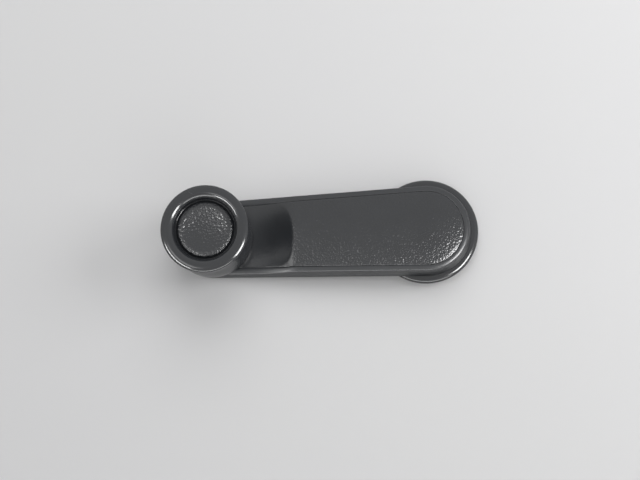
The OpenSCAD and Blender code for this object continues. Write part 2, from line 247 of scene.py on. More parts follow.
# The handle rests on the disc's edge and on a point of the arm at least this far past it
DISC_EDGE_X = DISC_LOW.x + DISC_TUCK
PAST_DISC = 30.0

# The lamps aim at this place along, across and above the table. Each has a bearing, with 0 to the right
# and 90 to the back, a height in degrees, a distance, a width, a depth, a level and a kind
LAMP_AIM = (-25, 0, 10)
LAMPS = (
    ("back", 85, 46, 900, 700, 700, 2.1, "fill"),
    ("side_right", 12, 33, 700, 400, 300, 4.9, "fill"),
    ("front_low", -70, 30, 800, 700, 400, 0.6, "fill"),
    ("front_left", 208, 33, 900, 640, 180, 19.0, "glint"),
    ("left_high", 202, 60, 900, 420, 180, 3.4, "glint"),
    ("front_right", -32, 44, 560, 220, 290, 25.0, "glint"),
    ("front", -90, 20, 1200, 1600, 420, 5.0, "glint"),
)

# Tints of the plastics and the metals
COOL = (0.91, 0.99, 1.13)
WARM_ZINC = (1.0, 0.98, 0.92)
COLD_ZINC = (0.97, 0.99, 1.0)
WARM_STEEL = (1.0, 0.97, 0.93)
CREAM = (1.0, 0.98, 0.91)
PALE_CREAM = (1.0, 0.99, 0.94)


def resting_tilt():
    """Angle of the table under the handle, which lies on the disc's edge and the arm's tip."""
    points = [v.co / MM for v in NODES["arm_body"].data.vertices]
    return min(math.atan2(p.z, DISC_EDGE_X - p.x) for p in points if p.x < DISC_EDGE_X - PAST_DISC)


TABLE_ORIGIN = Vector((DISC_EDGE_X, 0, 0))
TILT = resting_tilt()
ALONG = Vector((math.cos(TILT), 0, -math.sin(TILT)))
ACROSS = Vector((0, 1, 0))
UPWARD = Vector((math.sin(TILT), 0, math.cos(TILT)))


def on_table(along, across, up):
    """A point given from the table's origin, in metres of the model's frame."""
    return (TABLE_ORIGIN + ALONG * along + ACROSS * across + UPWARD * up) * MM


class Socket:
    """An output socket that takes Python's operators."""

    def __init__(self, owner, socket):
        self.owner = owner
        self.socket = socket

    def maths(self, operation, *values):
        return self.owner.node("Math", {"operation": operation}, *values)

    def __add__(self, other):
        return self.maths("ADD", self, other)

    def __sub__(self, other):
        return self.maths("SUBTRACT", self, other)

    def __mul__(self, other):
        return self.maths("MULTIPLY", self, other)

    def __radd__(self, other):
        return self.maths("ADD", other, self)

    def __rsub__(self, other):
        return self.maths("SUBTRACT", other, self)

    def __rmul__(self, other):
        return self.maths("MULTIPLY", other, self)

    def larger(self, other):
        return self.maths("MAXIMUM", self, other)

    def between(self, low, high):
        """0 below low, 1 above high and smooth between them."""
        return self.owner.node("MapRange", {"interpolation_type": "SMOOTHSTEP"}, self, low, high, 0.0, 1.0)


class Nodes:
    """The nodes of a material or of the room."""

    def __init__(self, tree):
        self.tree = tree

    def node(self, kind, settings, *values, output=0, **named):
        """Adds a node: its settings first, then values or sockets by order or by name."""
        made = self.tree.nodes.new("ShaderNode" + kind)
        for key, value in settings.items():
            setattr(made, key, value)
        for key, value in [*enumerate(values), *named.items()]:
            self.join(made.inputs[key], value)
        return Socket(self, made.outputs[output])

    def join(self, target, value):
        """Links an input to a socket or sets its value; None leaves it as it is."""
        if isinstance(value, Socket):
            self.tree.links.new(value.socket, target)
        elif value is not None:
            target.default_value = value


class Finish(Nodes):
    """One material and its nodes."""

    def __init__(self, name):
        self.material = bpy.data.materials.new(name)
        self.material.use_nodes = True
        super().__init__(self.material.node_tree)
        self.shader = self.tree.nodes["Principled BSDF"]
        self.place = self.node("TexCoord", {}, output="Object")

    def set(self, **values):
        """Sets the shader's own sockets; an underscore in a name stands for a space."""
        for key, value in values.items():
            self.join(self.shader.inputs[key.replace("_", " ")], value)

    def noise(self, size_mm, detail=3.0, place=None):
        """A cloudy pattern of this size."""
        values = {"Vector": place or self.place, "Scale": 1 / (size_mm * MM), "Detail": detail}
        return self.node("TexNoise", {}, Roughness=0.55, **values)

    def stretched(self, place, factors):
        """Coordinates scaled along each axis."""
        return self.node("Mapping", {}, Vector=place, Scale=factors)

    def blend(self, share, first, second):
        """Mixes two colours by a share. The five inputs between are for numbers and vectors."""
        return self.node("Mix", {"data_type": "RGBA"}, share, *[None] * 5, first, second, output=2)

    def bump(self, height, depth_mm, under=None):
        """Bumps of this depth, on top of other bumps if there are any."""
        return self.node("Bump", {}, Height=height, Distance=depth_mm * MM, Strength=1.0, Normal=under)


def rgb(value, tint=(1.0, 1.0, 1.0)):
    """A grey of this value with a tint."""
    return (value * tint[0], value * tint[1], value * tint[2], 1.0)


def scratches(finish, turn, size_mm):
    """Share of fine straight scratches along one direction."""
    along = finish.node("Mapping", {}, Vector=finish.place, Rotation=(0.0, 0.0, turn))
    lines = finish.noise(size_mm, 2.0, finish.stretched(along, (0.05, 1.0, 1.0)))
    patches = finish.noise(9.0, 2.0)
    return lines.between(0.68, 0.74) * patches.between(0.52, 0.62)


def smooth_plastic(name, roughness):
    """Moulded plastic with faint clouds, fine scratches and flecks of dust."""
    finish = Finish(name)
    cloud = finish.noise(14.0, 4.0)
    fine = finish.noise(0.35, 3.0)
    marks = scratches(finish, 0.5, 0.5) + scratches(finish, -0.9, 0.6)
    flecks = finish.noise(0.9, 1.0).between(0.77, 0.82)
    base = finish.blend(cloud, rgb(0.019, COOL), rgb(0.025, COOL))
    base = finish.blend(flecks * 0.2 + marks * 0.2, base, rgb(0.12, COOL))
    ripple = finish.bump(finish.noise(5.0, 2.0), 0.02)
    grain = finish.bump(fine, 0.0016, ripple)
    normal = finish.bump(1.0 - marks, 0.003, grain)
    roughness = roughness + cloud * 0.06 + marks * 0.2 + fine * 0.03
    finish.set(Base_Color=base, Roughness=roughness, Normal=normal)
    finish.set(IOR=1.55)
    return finish.material


def grained_plastic(name, pitch, depth):
    """Plastic with a pebble grain of this pitch and depth in millimetres, fainter in the arm's dip."""
    finish = Finish(name)
    cloud = finish.noise(10.0, 4.0)
    fine = finish.noise(0.25, 3.0)
    flecks = finish.noise(0.8, 1.0).between(0.76, 0.82)
    base = finish.blend(cloud, rgb(0.0175, COOL), rgb(0.0235, COOL))
    base = finish.blend(flecks * 0.15, base, rgb(0.1, COOL))
    middle = finish.node("TexVoronoi", {"feature": "F1"}, Vector=finish.place, Scale=1 / (pitch * MM))
    along = finish.node("SeparateXYZ", {}, finish.place)
    past_dip = along.between(FADE_FROM * MM, FADE_TO * MM)
    at_knob = 1.0 - along.between((KNOB_X + CAP_R) * MM, (KNOB_X + CAP_R + 1) * MM)
    strength = DIP_GRAIN + (1 - DIP_GRAIN) * (past_dip + at_knob)
    grain = finish.bump((1.0 - middle * middle * PEBBLE_STEEP) * strength, depth)
    normal = finish.bump(fine, 0.002, grain)
    finish.set(Base_Color=base, Roughness=0.2 + cloud * 0.06, Normal=normal)
    finish.set(IOR=1.55)
    return finish.material


def plated_steel():
    """Steel with a cloudy zinc plating."""
    finish = Finish("plated_steel")
    cloud = finish.noise(6.0, 4.0)
    fine = finish.noise(0.12, 2.0)
    base = finish.blend(cloud, rgb(0.50, WARM_ZINC), rgb(0.62, COLD_ZINC))
    normal = finish.bump(fine, 0.002, finish.bump(cloud, 0.03))
    finish.set(Base_Color=base, Metallic=1.0, Roughness=0.28 + cloud * 0.14 + fine * 0.06, Normal=normal)
    return finish.material


def spring_steel():
    """Dark drawn steel."""
    finish = Finish("spring_steel")
    cloud = finish.noise(3.0, 4.0)
    drawn = finish.noise(0.2, 2.0, finish.stretched(finish.place, (0.05, 1.0, 1.0)))
    base = finish.blend(cloud, rgb(0.16, COOL), rgb(0.30, WARM_STEEL))
    finish.set(Base_Color=base, Metallic=1.0, Roughness=0.3 + drawn * 0.15, Normal=finish.bump(drawn, 0.004))
    return finish.material


def nylon():
    """Natural nylon."""
    finish = Finish("nylon")
    cloud = finish.noise(2.0, 3.0)
    base = finish.blend(cloud, rgb(0.70, CREAM), rgb(0.78, PALE_CREAM))
    finish.set(Base_Color=base, Roughness=0.42 + cloud * 0.1, Normal=finish.bump(cloud, 0.01))
    finish.set(Subsurface_Weight=0.15, Subsurface_Scale=0.001)
    return finish.material


FINISHES = {
    "smooth_plastic": smooth_plastic("smooth_plastic", 0.11),
    "arm_plastic": smooth_plastic("arm_plastic", 0.27),
    "grained_plastic": grained_plastic("grained_plastic", 0.9, 0.062),
    "panel_plastic": grained_plastic("panel_plastic", 0.8, 0.036),
    "plated_steel": plated_steel(),
    "spring_steel": spring_steel(),
    "nylon": nylon(),
}


def dress_frame():
    """Gives each CAD node the finish of its slot in the record."""
    for row in frame["record"]["subparts"]:
        node = NODES[row["node"]]
        node.data.materials.clear()
        node.data.materials.append(FINISHES[row["material_slot"]])


def clear_selection():
    bpy.ops.object.select_all(action="DESELECT")


def select_points(piece, wanted):
    """Selects the points of the open mesh that are wanted, with the edges between them."""
    bpy.ops.mesh.select_all(action="DESELECT")
    mesh = bmesh.from_edit_mesh(piece.data)
    for point in mesh.verts:
        point.select_set(wanted(point))
    mesh.select_flush(True)
    bmesh.update_edit_mesh(piece.data)


def selected_points(piece):
    mesh = bmesh.from_edit_mesh(piece.data)
    mesh.verts.index_update()
    return {point.index for point in mesh.verts if point.select}


def close_up(piece):
    """Merges doubled points, fills small holes, turns all faces outwards and leaves edit mode."""
    bpy.ops.mesh.select_mode(type="VERT")
    bpy.ops.mesh.select_all(action="SELECT")
    bpy.ops.mesh.remove_doubles(threshold=MERGE * MM)
    bpy.ops.mesh.fill_holes(sides=4)
    bpy.ops.mesh.normals_make_consistent(inside=False)
    bpy.ops.object.mode_set(mode="OBJECT")
    return piece


def applied(piece, modifier):
    bpy.context.view_layer.objects.active = piece
    bpy.ops.object.modifier_apply(modifier=modifier.name)


def cut(piece, tool, operation="DIFFERENCE"):
    """Cuts a piece with a tool, or joins them, and deletes the tool."""
    modifier = piece.modifiers.new("cut", "BOOLEAN")
    modifier.operation = operation
    modifier.object = tool
    modifier.solver = "EXACT"
    applied(piece, modifier)
    bpy.data.objects.remove(tool)


def finished(piece, node, slot, crease=32, finish=None):
    """Names, shades and dresses a piece that takes the place of a CAD node."""
    clear_selection()
    piece.select_set(True)
    bpy.context.view_layer.objects.active = piece
    bpy.ops.object.mode_set(mode="EDIT")
    bpy.ops.mesh.select_all(action="SELECT")
    bpy.ops.mesh.dissolve_degenerate(threshold=SPECK * MM)
    close_up(piece)
    bpy.ops.object.shade_smooth_by_angle(angle=math.radians(crease))
    piece.name = "visual_" + node
    piece.data.name = piece.name
    piece.data.materials.clear()
    piece.data.materials.append(FINISHES[finish or slot])
    body = next(name for name, nodes in frame["record"]["behaviour"]["bodies"].items() if node in nodes)
    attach(piece, body)
    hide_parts(node)
    return piece


def ramp(value, low, high):
    """0 below low, 1 above high and in proportion between them."""
    return min(max((value - low) / (high - low), 0.0), 1.0)


def arc(middle, reach, start, end, steps):
    """Points of an oval arc, as distances across and up."""
    turns = [math.radians(start + (end - start) * i / steps) for i in range(steps + 1)]
    return [(middle[0] + reach[0] * math.cos(t), middle[1] + reach[1] * math.sin(t)) for t in turns]


def sweep_up(low, high, steps):
    """Points of a smooth sweep between two places, upright at both ends."""
    across, up = high[0] - low[0], high[1] - low[1]
    shares = [i / steps for i in range(1, steps)]
    return [(low[0] + across * (1 - math.cos(math.pi * t)) / 2, low[1] + up * t) for t in shares]


def softened(corners):
    """Points of a line through corners of (across, up, fillet), each fillet as an arc."""
    points = []
    for i, (across, up, fillet) in enumerate(corners):
        here = Vector((across, up))
        if not fillet:
            points.append((across, up))
            continue
        back = (Vector(corners[i - 1][:2]) - here).normalized()
        onward = (Vector(corners[i + 1][:2]) - here).normalized()
        half = back.angle(onward) / 2
        middle = here + (back + onward).normalized() * fillet / math.sin(half)
        first = here + back * fillet / math.tan(half) - middle
        last = here + onward * fillet / math.tan(half) - middle
        steps = max(2, round(math.degrees(math.pi - 2 * half) / FILLET_TURN))
        ways = [first.slerp(last, s / steps).normalized() for s in range(steps + 1)]
        points += [tuple(middle + way * fillet) for way in ways]
    return points


def turned(profile, axis_x, steps=128, closed=True):
    """A turned piece: its half section is drawn point by point and spun round an upright axis."""
    clear_selection()
    bpy.ops.mesh.primitive_plane_add(size=MM, enter_editmode=True)
    piece = bpy.context.object
    bpy.ops.mesh.merge(type="CENTER")
    places = [Vector((axis_x + across, 0, up)) * MM for across, up in profile]
    if closed:
        places.append(places[0])
    bpy.ops.transform.translate(value=places[0])
    for last, here in zip(places, places[1:]):
        bpy.ops.mesh.extrude_region_move(TRANSFORM_OT_translate={"value": here - last})
    bpy.ops.mesh.select_all(action="SELECT")
    bpy.ops.mesh.spin(steps=steps, angle=math.tau, center=(axis_x * MM, 0, 0), axis=(0, 0, 1))
    return close_up(piece)


def block(low, high):
    """A box between two corners."""
    clear_selection()
    bpy.ops.mesh.primitive_cube_add(size=1, enter_editmode=True)
    bpy.ops.transform.resize(value=[(b - a) * MM for a, b in zip(low, high)])
    bpy.ops.transform.translate(value=[(a + b) / 2 * MM for a, b in zip(low, high)])
    bpy.ops.object.mode_set(mode="OBJECT")
    return bpy.context.object


def upright(x, y, radius, low, high, steps=32):
    """A plain upright cylinder."""
    clear_selection()
    depth = (high - low) * MM
    bpy.ops.mesh.primitive_cylinder_add(vertices=steps, radius=radius * MM, depth=depth, enter_editmode=True)
    bpy.ops.transform.translate(value=(x * MM, y * MM, (low + high) / 2 * MM))
    bpy.ops.object.mode_set(mode="OBJECT")
    return bpy.context.object


def joined(pieces):
    """Joins separate pieces into the first of them."""
    clear_selection()
    for piece in pieces:
        piece.select_set(True)
    bpy.context.view_layer.objects.active = pieces[0]
    bpy.ops.object.join()
    return pieces[0]


def placed_copy(piece, matrix):
    """A copy of a piece with its own mesh, moved by a matrix."""
    copy = bpy.data.objects.new("copy", piece.data.copy())
    copy.data.transform(matrix)
    bpy.context.collection.objects.link(copy)
    return copy


def spokes(spoke, turns, axis_x):
    """Copies of a spoke turned round an upright axis and joined."""
    centre = Matrix.Translation((axis_x * MM, 0, 0))
    matrices = [centre @ Matrix.Rotation(math.radians(turn), 4, "Z") @ centre.inverted() for turn in turns]
    pieces = [placed_copy(spoke, matrix) for matrix in matrices]
    bpy.data.objects.remove(spoke)
    return joined(pieces)


def even_turns(count):
    """Turns in degrees that share a circle evenly."""
    return [i * 360 / count for i in range(count)]


def bend_ring(piece, ring, last, new):
    """Gives the points of a ring over the arm's outline new end radii and heights."""
    for side, end_x in ((0, 0.0), (1, KNOB_X)):
        def at_this_end(point):
            return point.index in ring and (point.co.x < KNOB_X / 2 * MM) == (side == 1)

        select_points(piece, at_this_end)
        share = new[side] / last[side]
        bpy.ops.transform.resize(value=(share, share, 1), center_override=(end_x * MM, 0, 0))
        bpy.ops.transform.translate(value=(0, 0, (new[side + 2] - last[side + 2]) * MM))


def next_ring(piece, ring, last, new):
    """Draws a further ring out of a ring and returns its points."""
    select_points(piece, lambda point: point.index in ring)
    bpy.ops.mesh.extrude_region_move(TRANSFORM_OT_translate={"value": (0, 0, 0)})
    drawn = selected_points(piece)
    bend_ring(piece, drawn, last, new)
    return drawn


def slot_shell(rings, segments, columns):
    """A closed shell over the arm's outline, drawn ring by ring. A ring is its radius at
    the hub and at the knob and its height at both. The first and the last are closed.
    Columns are cuts across the arm, each with the least length of the edges that it cuts."""
    clear_selection()
    bpy.ops.mesh.primitive_circle_add(vertices=segments, radius=BLANK_R * MM, enter_editmode=True)
    piece = bpy.context.object
    select_points(piece, lambda point: point.co.x < -TINY * MM)
    bpy.ops.transform.translate(value=(KNOB_X * MM, 0, 0))
    first, last = rings[0], rings[-1]
    start = set(range(segments))
    bend_ring(piece, start, (BLANK_R, BLANK_R, 0, 0), first)
    next_ring(piece, start, first, (TINY, TINY, first[2], first[3]))
    ring = start
    for old, new in zip(rings, rings[1:]):
        ring = next_ring(piece, ring, old, new)
    next_ring(piece, ring, last, (TINY, TINY, last[2], last[3]))
    for cuts, length in columns:
        bpy.ops.mesh.select_mode(type="EDGE")
        mesh = bmesh.from_edit_mesh(piece.data)
        for edge in mesh.edges:
            edge.select_set(abs(edge.verts[0].co.x - edge.verts[1].co.x) > length * MM)
        bmesh.update_edit_mesh(piece.data)
        bpy.ops.mesh.subdivide(number_cuts=cuts)
    return close_up(piece)


def slot_inset(place, hub_r, tip_r):
    """How far a place, in millimetres, lies inside an outline with these two end radii."""
    x, y = place.x, place.y
    if x > 0:
        return hub_r - math.hypot(x, y)
    if x < KNOB_X:
        return tip_r - math.hypot(x - KNOB_X, y)
    return hub_r + (tip_r - hub_r) * x / KNOB_X - abs(y)


def dip(x, depth=DIP_DEPTH):
    """How far a dip of this depth has gone down at a place along the arm."""
    left = min(max(DIP_START + DIP_RUN + x, 0.0), DIP_RUN)
    radius = DIP_RUN / math.sin(2 * math.atan(depth / DIP_RUN))
    return depth - radius + math.sqrt(radius * radius - left * left)


def softly(height, x, soft):
    """A height along the arm with its creases rounded."""
    return (height(x - soft) + 2 * height(x) + height(x + soft)) / 4


def rim_dip(x):
    return softly(dip, x, DIP_SOFT)


def fade(x, in_dip):
    """1 on the level part of the arm and a smaller share in the dip."""
    return in_dip + (1 - in_dip) * ramp(x, FADE_FROM, FADE_TO)


def displaced(piece, share, distance, middle, **settings):
    """Moves the points of a piece by a distance times the share, from 0 to 1, at their place."""
    group = piece.vertex_groups.new(name="share")
    for point in piece.data.vertices:
        strength = share(point.co / MM)
        if strength > 0:
            group.add([point.index], strength, "REPLACE")
    modifier = piece.modifiers.new("displaced", "DISPLACE")
    modifier.strength = distance * MM
    modifier.mid_level = middle
    modifier.vertex_group = group.name
    for key, value in settings.items():
        setattr(modifier, key, value)
    applied(piece, modifier)
    piece.vertex_groups.clear()


def shifted(piece, axis, distance, share):
    """Moves points along an axis."""
    displaced(piece, share, distance, 0.0, direction=axis)


def pebbles():
    """The grain's pattern: rounded cells with narrow valleys between them."""
    pattern = bpy.data.textures.new("pebbles", "VORONOI")
    pattern.noise_scale = GRAIN_PITCH * MM
    pattern.weight_1 = -1.0
    pattern.weight_2 = 1.0
    pattern.noise_intensity = 1.3
    return pattern


PEBBLES = pebbles()


def raise_grain(piece, share):
    """Raises the pebble grain on a piece."""
    displaced(piece, share, GRAIN_DEPTH, 0.5, texture=PEBBLES, texture_coords="LOCAL")


def cover_top(x, y):
    """Height of the cover's face: a crown that bends down along the dip and is scooped flat."""
    across = math.sqrt(CROWN_R ** 2 - y * y - max(x, 0.0) ** 2)
    bent = CROWN_Z - CROWN_R + across - softly(dip, x, DIP_SOFT)
    scooped = CROWN_Z - dip(x - SCOOP_LEAD, DIP_DEPTH + CROWN)
    return min(bent, scooped)


def soft_cover_top(place):
    """Height of the cover's face with its crease across the arm rounded twice."""
    first, second = CREASE_SOFT

    def once(x):
        return softly(lambda near: cover_top(near, place.y), x, first)

    return softly(once, place.x, second)


def stake_places():
    """Places of the stakes under the cover, each between two ribs."""
    beside = (CHANNEL / 2 + RIB + TIP_R - WALL_LEAN - ARM_WALL) / 2
    along = (RIB_XS[0] + RIB_PITCH / 2, RIB_XS[1] - RIB_PITCH / 2)
    places = [(x, side * beside) for x in along for side in (-1, 1)]
    return [*places, ((COLLAR_R + HUB_R - WALL_LEAN - ARM_WALL) / 2, 0)]


def cover_stakes():
    """The stakes that hold the cover, with their heads under the web."""
    foot, top = WEB_Z - STAKE_HEAD, WEB_Z + STAKE_LONG
    profile = softened([(0, foot, 0), (STAKE_TIP_R, foot, 0.2), (STAKE_HEAD_R, WEB_Z, 0.15),
                        (STAKE_R, WEB_Z, 0), (STAKE_R, top, 0), (0, top, 0)])
    stakes = []
    for x, y in stake_places():
        stake = turned(profile, 0, 32, closed=False)
        stake.data.transform(Matrix.Translation((x * MM, y * MM, 0)))
        stakes.append(stake)
    return stakes


def arm_cover():
    """The grained panel on the arm's face, made as a blank whose points then go down to the face."""
    low = RIM_Z - COVER_THICK
    rings = [(COVER_HUB_R, COVER_TIP_R, low, low)]
    rings += [(COVER_HUB_R - inset, COVER_TIP_R - inset, ABOVE_RIM, ABOVE_RIM) for inset in SHOULDER_INSETS]
    for i in range(1, COVER_RINGS):
        share = 1 - i / COVER_RINGS
        radii = ((COVER_HUB_R - COVER_SHOULDER) * share, (COVER_TIP_R - COVER_SHOULDER) * share)
        rings.append((*radii, ABOVE_RIM, ABOVE_RIM))
    piece = slot_shell(rings, 320, ((60, 20), (4, 1)))

    def fall(place):
        """Share of COVER_FALL by which a point of the blank goes down."""
        if place.z < RIM_Z:
            return dip(place.x) / COVER_FALL
        inset = min(max(slot_inset(place, COVER_HUB_R, COVER_TIP_R), 0.0), COVER_SHOULDER)
        rolled = COVER_ROLL * (1 - math.sqrt(1 - (1 - inset / COVER_SHOULDER) ** 2))
        return (place.z - soft_cover_top(place) + rolled * fade(place.x, DIP_ROLL)) / COVER_FALL

    def grain(place):
        if place.z < cover_top(place.x, place.y) - COVER_SKIN:
            return 0.0
        inset = slot_inset(place, COVER_HUB_R, COVER_TIP_R)
        return ramp(inset, GRAIN_START, GRAIN_FULL) * fade(place.x, DIP_GRAIN)

    shifted(piece, "Z", -COVER_FALL, fall)
    cut(piece, upright(KNOB_X, 0, PIN_R + PIN_HOLE_ROOM, 0, TALL, 64))
    raise_grain(piece, grain)
    return finished(joined([piece, *cover_stakes()]), "arm_cover", "grained_plastic", 60, "panel_plastic")


def arm_outside():
    """The arm's outer form with the recess for its cover."""
    lean = math.atan(WALL_LEAN / (RIM_Z - FOOT_Z))
    touch = math.atan(RIM_ROUND / RIM_ACROSS * math.tan(lean))
    touch_z = RIM_Z - RIM_ROUND * (1 - math.sin(touch))
    mid = (touch_z - FOOT_Z) * math.tan(lean) + RIM_ACROSS * math.cos(touch)
    recess = WALL_LEAN + RIM_WIDTH
    foot = arc((FOOT_EDGE, FOOT_EDGE), (-FOOT_EDGE, -FOOT_EDGE), 90, 0, 3)
    rim = [(mid - across, RIM_Z - RIM_ROUND + up)
           for across, up in arc((0, 0), (RIM_ACROSS, RIM_ROUND), math.degrees(touch), 90, 10)]
    groove = arc((recess - GROOVE_EDGE, RIM_Z - GROOVE_EDGE), (GROOVE_EDGE, GROOVE_EDGE), 90, 0, 5)
    rings = [(HUB_R - inset, TIP_R - inset, FOOT_Z + up, FOOT_Z + FOOT_RISE + up) for inset, up in foot]
    for inset, up in [*rim, *groove, (recess, RIM_Z - COVER_THICK)]:
        rings.append((HUB_R - inset, TIP_R - inset, up, up))
    piece = slot_shell(rings, 192, ((90, 20),))
    widest = WALL_LEAN * DIP_DEPTH / (RIM_Z - FOOT_Z)

    def dipped(place):
        return rim_dip(place.x) / DIP_DEPTH if place.z > TOP_ZONE else 0.0

    def outwards(direction):
        """Share of the way out that keeps the wall's lean where the rim dips."""
        def share(place):
            if place.z < TOP_ZONE or slot_inset(place, HUB_R, TIP_R) > recess - RECESS_MARGIN:
                return 0.0
            way = Vector((min(place.x - KNOB_X, 0.0), place.y)).normalized()
            return max(way @ direction, 0.0) * rim_dip(place.x) / DIP_DEPTH
        return share

    sides = [("Y", widest, Vector((0, 1))), ("Y", -widest, Vector((0, -1))), ("X", -widest, Vector((-1, 0)))]
    for axis, distance, direction in sides:
        shifted(piece, axis, distance, outwards(direction))
    shifted(piece, "Z", -DIP_DEPTH, dipped)
    return piece


def arm_hollow():
    """The hollow of the arm's underside, less its ribs."""
    slope = WALL_LEAN / (RIM_Z - FOOT_Z)
    top = RIM_Z - COVER_THICK - WEB
    at_mouth = ARM_WALL - slope
    at_top = ARM_WALL + slope * (top - FOOT_Z)
    low = FOOT_Z - OVERRUN
    rings = [(HUB_R - at_mouth, TIP_R - at_mouth, low, low + FOOT_RISE)]
    rings += [(HUB_R - at_top - inset, TIP_R - at_top - inset, top - down, top - down)
              for inset, down in HOLLOW_CORNER]
    hollow = slot_shell(rings, 96, ((90, 20),))

    def dipped(place):
        return dip(place.x) / DIP_DEPTH if place.z > top - SAME_LEVEL else 0.0

    shifted(hollow, "Z", -DIP_DEPTH, dipped)
    foot = FOOT_Z + RIB_SHORT
    inner, outer = CHANNEL / 2, CHANNEL / 2 + RIB
    long_ribs = [block((KNOB_X, y, foot), (OVERRUN - COLLAR_R, y + RIB, TALL)) for y in (inner, -outer)]
    cut(hollow, joined(long_ribs))
    cross_ribs = [block((x - RIB / 2, y, foot), (x + RIB / 2, y + FAR, TALL))
                  for x in RIB_XS for y in (inner, -inner - FAR)]
    cut(hollow, joined(cross_ribs))
    hub_rib = block((COLLAR_R - OVERRUN, -RIB / 2, foot), (HUB_R + HUB_RIB_PAST, RIB / 2, TALL))
    cut(hollow, spokes(hub_rib, HUB_RIB_TURNS, 0))
    return hollow


def collar():
    """The plastic collar round the steel socket, with the bead that the disc snaps over."""
    bead = COLLAR_R + BEAD_LIP
    mouth, top = SOCKET_LOW.z, WEB_Z + COLLAR_SUNK
    return turned(softened([
        (SOCKET_R, mouth, 0), (COLLAR_R - COLLAR_LEAD, mouth, 0), (bead, mouth + BEAD_HIGH * BEAD_RAMP, 0.1),
        (bead, mouth + BEAD_HIGH, 0.1), (COLLAR_R, mouth + BEAD_HIGH, 0), (COLLAR_R, DISC_HIGH.z, 0),
        (bead, DISC_HIGH.z, 0), (bead, top, 0), (SOCKET_R, top, 0)]), 0)


def arm_cuts():
    """Cutters for the clip's slots, the strap, the stakes and the pin."""
    half = (CLIP_HIGH.z - CLIP_LOW.z) / 2 + CLIP_FIT
    clip_z = (CLIP_HIGH.z + CLIP_LOW.z) / 2
    leg = CLIP_HIGH.y - half + CLIP_FIT
    start, end = CLIP_LOW.x - SLOT_PAST_CLIP, HUB_R - SLOT_SHORT
    slots = [block((start, y - half, clip_z - half), (end, y + half, clip_z + half)) for y in (leg, -leg)]
    across = STRAP_W / 2 + STRAP_ROOM
    strap = block((CLIP_LOW.x - STRAP_PAST_CLIP, -across, WEB_Z - STRAP_T), (0, across, WEB_Z))
    holes = [upright(x, y, STAKE_R + STAKE_ROOM, WEB_Z - OVERRUN, ABOVE_RIM) for x, y in stake_places()]
    pin_hole = upright(KNOB_X, 0, PIN_R + PIN_HOLE_ROOM, WEB_Z - DIP_DEPTH - OVERRUN, ABOVE_RIM, 64)
    return joined([*slots, strap, *holes, pin_hole])


def arm_body():
    """The moulded arm."""
    piece = arm_outside()
    cut(piece, arm_hollow())
    cut(piece, collar(), "UNION")
    cut(piece, arm_cuts())
    return finished(piece, "arm_body", "smooth_plastic", finish="arm_plastic")


def escutcheon():
    """The trim disc behind the hub, hollow underneath and ribbed."""
    hole = COLLAR_R + DISC_FIT
    bead = COLLAR_R + BEAD_LIP + DISC_BEAD_ROOM
    inner, outer = COLLAR_R + BEAD_LIP + DISC_WALL, DISC_R - DISC_WALL
    top = DISC_HIGH.z - DISC_FALL
    lip = DISC_HIGH.z - DISC_LIP
    under = top - DISC_WALL
    roll = arc((DISC_R - DISC_ROLL, top - DISC_ROLL), (DISC_ROLL, DISC_ROLL), 88, 0, 16)
    outside = softened([(hole, lip, 0), (hole, DISC_HIGH.z, 0.15), (*roll[0], 0)])
    inside = softened([(*roll[-1], 0), (DISC_R - DISC_TUCK, 0, 0.12), (outer, 0, 0.12), (outer, under, 0.3),
                       (inner, under, 0.3), (inner, 0, 0.12), (bead, 0, 0.12), (bead, lip, 0)])
    piece = turned([*outside, *roll[1:-1], *inside], 0, 160)
    rib = block((inner - DISC_RIB_SUNK, -RIB / 2, DISC_RIB_SHORT),
                (outer + DISC_RIB_SUNK, RIB / 2, under + ROOF_RIB_SUNK))
    cut(piece, spokes(rib, even_turns(DISC_RIBS), 0), "UNION")
    return finished(piece, "escutcheon", "smooth_plastic")


def knob_outline():
    """Half section of the knob's outside, from the foot up to the lap round the cap."""
    widest = KNOB_LOW.z + KNOB_FOOT_HIGH
    waist = widest + KNOB_WAIST_RISE
    ring = KNOB_HIGH.z - RING_OUTER
    lap = CAP_HIGH.z - CAP_EDGE / 2 - CAP_LAP
    return [*arc((KNOB_FOOT_R - KNOB_FOOT_EDGE, widest), (KNOB_FOOT_EDGE, KNOB_FOOT_HIGH), -90, 0, 10),
            *sweep_up((KNOB_FOOT_R, widest), (KNOB_WAIST_R, waist), 18),
            *sweep_up((KNOB_WAIST_R, waist), (RING_R, ring), 14),
            *arc((CREST_R, ring), (RING_R - CREST_R, RING_OUTER), 0, 90, 14),
            *arc((CREST_R, KNOB_HIGH.z - RING_INNER), (CREST_R - WELL_R, RING_INNER), 90, 180, 14)[1:],
            *[(WELL_R - inset, lap - down) for inset, down in CAP_GROOVE],
            (CAP_R + CAP_ROOM, lap)]


